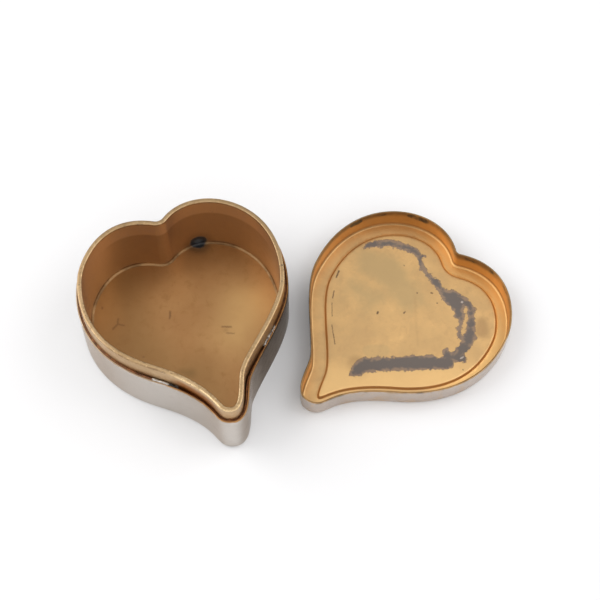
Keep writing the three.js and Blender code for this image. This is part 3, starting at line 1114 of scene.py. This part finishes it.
gapGrains = {"mottle": (1.3, 5.0, 0.7), "specks": (0.35, 2.0), "sheen": (0.6,), "lumps": (0.4, 4.0, 0.65)}
gapLooks = {
    "gapDirtAndShade": {
        "colour": (0.36, 0.14, 0.045), "mottle": (0.14, 0.054, 0.020), "speck": (0.04, 0.02, 0.012),
        "rough": 0.5, "metallic": 0.0,
    },
    "solderGrey": {
        "colour": (0.62, 0.60, 0.57), "mottle": (0.45, 0.42, 0.39), "speck": (0.20, 0.17, 0.15),
        "rough": 0.42, "metallic": 0.55,
    },
    "sootBlack": {
        "colour": (0.03, 0.03, 0.03), "mottle": (0.10, 0.095, 0.09), "speck": (0.22, 0.21, 0.20),
        "rough": 0.6, "metallic": 0.0,
    },
}


def gapFinish(name, look):
    material, where = newMaterial(name)
    mottle, specks, sheen, lumps = grainsOf(where, {"grains": gapGrains})
    mixed = blend(stretch(mottle, 0.38, 0.62), look["colour"], look["mottle"])
    return dress(material, {
        "Base Color": blend(stretch(specks, 0.56, 0.68), mixed, look["speck"]),
        "Roughness": stretch(sheen, 0.3, 0.7, look["rough"] - 0.1, look["rough"] + 0.1),
        "Metallic": look["metallic"],
        "Normal": bump(lumps, 0.08),
    })


def beadTree(material):
    tree, given = newTree("gapBead", gapDirtAndShadeBead)
    rail = railOf(tree, given["Geometry"])
    rail = put(tree, "GeometryNodeResampleCurve", {"Curve": rail, "Length": given["Spacing"]}, mode="LENGTH")
    ring = put(tree, "GeometryNodeCurvePrimitiveCircle", {"Resolution": 10, "Radius": given["Radius"]})
    sweeping = {"Curve": upright(tree, rail), "Profile Curve": ring, "Fill Caps": True}
    bead = put(tree, "GeometryNodeCurveToMesh", sweeping)
    wave = waveOf(tree, put(tree, "GeometryNodeInputPosition"), given["Wave Length"], 3.0)
    wave = wave.vector("SUBTRACT", (0.5, 0.5, 0.5)).vector("MULTIPLY", (1.0, 1.0, 2.6))
    shift = wave.vector("SCALE", given["Unevenness"])
    bead = put(tree, "GeometryNodeSetPosition", {"Geometry": bead, "Offset": shift})
    return finishTree(tree, bead, material)


def crumbTree(material):
    tree, given = newTree("gapCrumbs", crumbSizes, ("Crumbs", "Seed"))
    rail = railOf(tree, given["Geometry"])
    places = put(tree, "GeometryNodeResampleCurve", {"Curve": rail, "Count": given["Crumbs"]}, mode="COUNT")
    places = put(tree, "GeometryNodeCurveToPoints", {"Curve": places}, mode="EVALUATED")

    def anyOf(low, high, shift):
        sockets = {0: low, 1: high, "Seed": given["Seed"] + shift}
        return put(tree, "FunctionNodeRandomValue", sockets, data_type="FLOAT_VECTOR")

    off = anyOf((-1, -1, -0.6), (1, 1, 0.5), 0).vector("SCALE", given["Spread"])
    crumbs = put(tree, "GeometryNodeInstanceOnPoints", {
        "Points": put(tree, "GeometryNodeSetPosition", {"Geometry": places, "Offset": off}),
        "Instance": put(tree, "GeometryNodeMeshIcoSphere", {"Radius": given["Size"], "Subdivisions": 2}),
        "Rotation": anyOf((-0.5, -0.5, 0), (0.5, 0.5, 6.28), 11),
        "Scale": anyOf((0.5, 0.35, 0.25), (1.5, 0.9, 0.7), 23),
    })
    return finishTree(tree, crumbs, material)


def gapLine(line, start, end, inset, heights):
    ids = np.arange(round(start * len(line)), round(end * len(line)) + 1) % len(line)
    shares = ids / len(line)
    return np.column_stack([moved(line, inset)[ids], np.interp(shares, *zip(*heights))])


def onBox(piece):
    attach(piece, "root")
    print(piece.name, "done,", len(piece.data.polygons), "faces")


def chainEdges(points):
    return [(i, i + 1) for i in range(len(points) - 1)]


finishes = {name: gapFinish(name, look) for name, look in gapLooks.items()}
dirtAndShadePoints = gapLine(boxOutline, 0.0, 1 - 1 / len(boxOutline), gapPlaces["inset"], gapPlaces["stops"])
dirtAndShadeTree = beadTree(finishes["gapDirtAndShade"])
onBox(meshByNodes("gapDirtAndShadeBead", dirtAndShadePoints, loopEdges, dirtAndShadeTree, gapDirtAndShadeBead))
start, end, inset, height = gapPlaces["streak"]
points = gapLine(boxOutline, start, end, inset, ((0, height), (1, height)))
streakTree = beadTree(finishes["solderGrey"])
onBox(meshByNodes("solderStreak", points, chainEdges(points), streakTree, gapStreak))
for name, ((start, end, inset, height), count, size, finish) in crumbPlaces.items():
    points = gapLine(boxOutline, start, end, inset, ((0, height), (1, height)))
    sizes = {**crumbSizes, "Crumbs": count, "Size": size}
    tree = crumbTree(finishes[finish])
    onBox(meshByNodes(name, points, chainEdges(points), tree, sizes, ("Crumbs", "Seed")))


# Lid: the same sheet, upside down, with a step up to the field
lid = {
    "sheet": 0.5,
    "height": 8.0,
    "foot": 1.2,
    "edge": 0.2,
    "wallRings": 6,
    "field": 4.4,  # inset of the step, inside
    "stepRise": 0.8,
    "stepRun": 0.7,
    "stepRings": 9,
    "drift": (-0.6, 0.0),  # in the box's own direction, before the lid is turned over
    "fieldSmoothing": 14,
    "panelGrid": 0.5,
    "bandGrid": 0.7,
    "underPanelGrid": 2.5,
    "underBandGrid": 1.5,
    "wallFrom": 0.02,  # heights above the floor between which the wall's own shade sets in
    "wallFade": 0.6,
    "ripple": {"size": 18.0, "height": 0.05, "edge": 6.0},
}


def fieldRing(inset):
    x, y = lid["drift"]
    drift = np.array(Matrix.Rotation(lidTurn, 2) @ Vector((-x, y)))
    return fieldOutline(lidOutline, inset, lid["fieldSmoothing"]) + drift


def stepSection(size, start, base):
    # A soft step from the band up to the field
    shares = [i / (size["stepRings"] - 1) for i in range(size["stepRings"])]
    return [(start + size["stepRun"] * share, base + size["stepRise"] * share * share * (3 - 2 * share))
            for share in shares]


def makeLidShell(size, line):
    sheet = size["sheet"]
    shape = SheetShape()
    under = sweep(shape, fieldRing, stepSection(size, size["field"] + sheet, 0.0)[::-1])
    section, marks = traySection(size)
    marks["wall"] = [min(1.0, max(0.0, z - sheet - size["wallFrom"]) / size["wallFade"]) for _, z in section]
    wall = sweep(shape, lambda inset: moved(line, inset), section, **marks)
    stepUp = stepSection(size, size["field"], sheet)
    seam = [math.sin(math.pi * i / (len(stepUp) - 1)) for i in range(len(stepUp))]
    step = sweep(shape, fieldRing, stepUp, inner=[1.0] * len(stepUp), seam=seam)
    shape.fill([under[0]], size["stepRise"], size["underPanelGrid"], 3, facing=-1)
    shape.fill([wall[0], under[-1]], 0.0, size["underBandGrid"], 4, facing=-1)
    shape.fill([wall[-1], step[0]], sheet, size["bandGrid"], 5, inner=1.0)
    shape.fill([step[-1]], sheet + size["stepRise"], size["panelGrid"], 6, ripple=size["ripple"], inner=1.0)
    return shape


lidShape = makeLidShell(lid, lidOutline)
onPanel = (lidShape.points[:, 2] > lidMarks["panelFrom"]) & (lidShape.marks["inner"] > 0.99)
for mark in ("stain", "haze", "olive", "stamp"):
    depth = strokeDepth(lidShape.points[:, :2], lidMarks[mark])
    if mark == "stain":
        depth = np.minimum(depth, -strokeDepth(lidShape.points[:, :2], lidMarks["bare"]))
    lidShape.marks[mark] = np.where(onPanel, depth, lidMarks["offPanel"])
lidShell = lidShape.build("lidShell", lidFinish(lidLook, lidMarks))
takesPlaceOf(lidShell, "lid_shell")


# Enamel in the field of the lid's top, which lies face down
enamel = {"gap": 0.35, "thickness": 0.5, "edge": 0.12, "slope": 0.3, "flat": 0.2, "grid": 2.0}


def makeEnamel(size):
    start = lid["field"] + lid["sheet"] + size["gap"]
    edge, deep = size["edge"], size["thickness"]
    top = start + size["slope"] + edge
    section = [(start + edge + size["flat"], 0)] + roundCorner(start + edge, edge, edge, -90, 0, 4)
    section += roundCorner(top, deep - edge, edge, 0, 90, 4) + [(top + size["flat"], deep)]
    shape = SheetShape()
    rings = sweep(shape, fieldRing, section)
    shape.fill([rings[0]], 0.0, size["grid"], 7, facing=-1)
    shape.fill([rings[-1]], deep, size["grid"], 8)
    return shape


lidEnamel = makeEnamel(enamel).build("lidEnamel", enamelFinish(enamelLook))
takesPlaceOf(lidEnamel, "lid_enamel")


# Stage: a plain white table, a soft light on each side, and a pale room
stage = {
    "tableRadius": 2.0,
    "tableDrop": 0.00005,
    "tableSides": 64,
    "tableColour": (0.855, 0.853, 0.862),
    "softboxes": {  # place in metres, size across and power
        "softboxLeft": ((-0.72, 0.2, 0.67), 0.9, 4.3),
        "softboxRight": ((0.66, 0.2, 0.72), 0.9, 3.0),
    },
    "zenithShade": 0.45,
    "stripShade": 1.25,
    "frontShade": 1.12,
    "backShade": 0.52,
    "roomColour": (1.0, 0.995, 0.99),
}


def makeTable(size):
    mesh = bpy.data.meshes.new("table")
    turns = [2 * math.pi * i / size["tableSides"] for i in range(size["tableSides"])]
    ring = [(size["tableRadius"] * math.cos(turn), size["tableRadius"] * math.sin(turn), -size["tableDrop"])
            for turn in turns]
    mesh.from_pydata(ring, [], [list(range(len(ring)))])
    material, _ = newMaterial("tableWhite")
    mesh.materials.append(dress(material, {"Roughness": 0.7, "Base Color": (*size["tableColour"], 1)}))
    table = bpy.data.objects.new("table", mesh)
    scene.collection.objects.link(table)


def areaLight(name, place, size, power):
    data = bpy.data.lights.new(name, "AREA")
    data.shape, data.size, data.energy = "DISK", size, power
    lamp = bpy.data.objects.new(name, data)
    lamp.location = place
    lamp.rotation_euler = (-Vector(place)).to_track_quat("-Z", "Y").to_euler()
    scene.collection.objects.link(lamp)


def makeRoom(size):
    # A bright strip overhead and a little behind, and lower down brighter in front than behind
    world = bpy.data.worlds.new("room")
    world.use_nodes = True
    tree = world.node_tree
    where = put(tree, "ShaderNodeTexCoord", out="Generated")
    away = where.part("Y")
    low = stretch(away, -0.5, 0.35, size["frontShade"], size["backShade"])
    top = stretch(away, -0.2, 0.25, size["zenithShade"], size["stripShade"])
    strength = stretch(where.part("Z"), 0.85, 0.95, low, top)
    fillIn(tree, tree.nodes["Background"], {"Strength": strength, "Color": (*size["roomColour"], 1)})
    scene.world = world


makeTable(stage)
for name, (place, size, power) in stage["softboxes"].items():
    areaLight(name, place, size, power)
makeRoom(stage)
scene.view_settings.view_transform = "Standard"
print("stage and lights placed")
